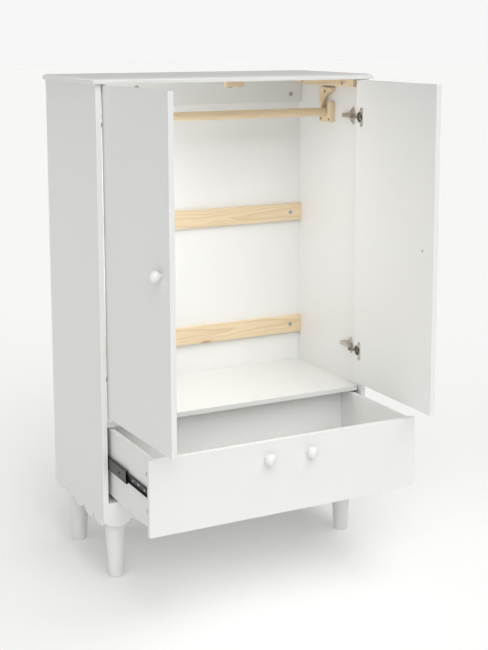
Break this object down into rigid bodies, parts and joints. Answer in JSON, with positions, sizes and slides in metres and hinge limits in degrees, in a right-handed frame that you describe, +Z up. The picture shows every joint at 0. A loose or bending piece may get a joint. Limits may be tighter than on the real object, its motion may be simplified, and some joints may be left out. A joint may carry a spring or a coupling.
{
  "type": "wardrobe",
  "caption": "Child's wardrobe on turned legs: two doors over a hanging space with a rail, one drawer below, and a scalloped skirt round the base.",
  "frame": {"origin": "on the floor, midway between the sides, in the plane of the carcass's front edges; with the doors open and the drawer out, as stored, the middle of the footprint is within 9 mm of it", "axes": "+Z up; +X to the right of someone facing the doors; +Y from the front to the back"},
  "size_m": [0.92, 0.8535, 1.49],
  "materials": {
    "white_lacquer": "satin lacquer",
    "pine": "bare sanded pine",
    "zinc": "zinc plated",
    "nickel": "nickel plated",
    "bronzed_steel": "dark bronzed",
    "black_steel": "black electrocoat",
    "glide_plastic": "matt"
  },
  "bodies": {
    "carcass": {"side_left": "white_lacquer", "side_right": "white_lacquer", "top": "white_lacquer", "floor_shelf": "white_lacquer", "base_board": "white_lacquer", "back_panel": "white_lacquer", "skirt_front": "white_lacquer", "back_rail_top": "white_lacquer", "back_slat_upper": "pine", "back_slat_lower": "pine", "back_cams": "zinc", "cleat_left": "pine", "cleat_right": "pine", "cleat_dowels": "zinc", "door_stop": "pine", "door_stop_screws": "zinc", "bracket_left": "pine", "bracket_right": "pine", "bracket_screws": "bronzed_steel", "hanging_rail": "pine", "leg_front_left": "white_lacquer", "leg_front_right": "white_lacquer", "leg_rear_left": "white_lacquer", "leg_rear_right": "white_lacquer", "leg_glides": "glide_plastic", "leg_bolts": "zinc", "hinge_plates": "nickel", "hinge_arms": "nickel", "hinge_plate_screws": "nickel", "slide_outer_left": "black_steel", "slide_outer_right": "black_steel"},
    "left_door": {"door_left": "white_lacquer", "hinge_cups_left": "nickel", "cup_screws_left": "nickel", "knob_door_left": "white_lacquer", "knob_screw_left": "zinc"},
    "right_door": {"door_right": "white_lacquer", "hinge_cups_right": "nickel", "cup_screws_right": "nickel", "knob_door_right": "white_lacquer", "knob_screw_right": "zinc"},
    "left_links": {"hinge_links_left": "bronzed_steel"},
    "right_links": {"hinge_links_right": "bronzed_steel"},
    "drawer": {"drawer_front": "white_lacquer", "drawer_side_left": "white_lacquer", "drawer_side_right": "white_lacquer", "drawer_back": "white_lacquer", "drawer_bottom": "white_lacquer", "drawer_cams": "zinc", "drawer_knobs": "white_lacquer", "drawer_knob_screws": "zinc", "slide_inner_left": "black_steel", "slide_inner_right": "black_steel", "slide_screws": "zinc"},
    "left_slide": {"slide_middle_left": "black_steel"},
    "right_slide": {"slide_middle_right": "black_steel"}
  },
  "joints": [
    {"name": "left_door_swing", "type": "hinge", "parent": "carcass", "child": "left_door", "pos_m": [-0.424, 0.004, 0.99], "axis": [0, 0, -1], "range_deg": [-88, 9]},
    {"name": "right_door_swing", "type": "hinge", "parent": "carcass", "child": "right_door", "pos_m": [0.424, 0.004, 0.99], "axis": [0, 0, 1], "range_deg": [-89.5, 7.5]},
    {"name": "left_link_swing", "type": "hinge", "parent": "carcass", "child": "left_links", "pos_m": [-0.404, 0.02, 0.99], "axis": [0, 0, -1], "range_deg": [-2, 17]},
    {"name": "right_link_swing", "type": "hinge", "parent": "carcass", "child": "right_links", "pos_m": [0.404, 0.02, 0.99], "axis": [0, 0, 1], "range_deg": [-2, 17]},
    {"name": "drawer_slide", "type": "slide", "parent": "carcass", "child": "drawer", "axis": [0, -1, 0], "range_m": [-0.307, 0.043]},
    {"name": "left_slide_run", "type": "slide", "parent": "carcass", "child": "left_slide", "axis": [0, -1, 0], "range_m": [-0.1535, 0.0215]},
    {"name": "right_slide_run", "type": "slide", "parent": "carcass", "child": "right_slide", "axis": [0, -1, 0], "range_m": [-0.1535, 0.0215]}
  ],
  "couplings": [
    {"joint": "left_link_swing", "follows": "left_door_swing", "ratio": -0.18},
    {"joint": "right_link_swing", "follows": "right_door_swing", "ratio": -0.18},
    {"joint": "left_slide_run", "follows": "drawer_slide", "ratio": 0.5},
    {"joint": "right_slide_run", "follows": "drawer_slide", "ratio": 0.5}
  ]
}
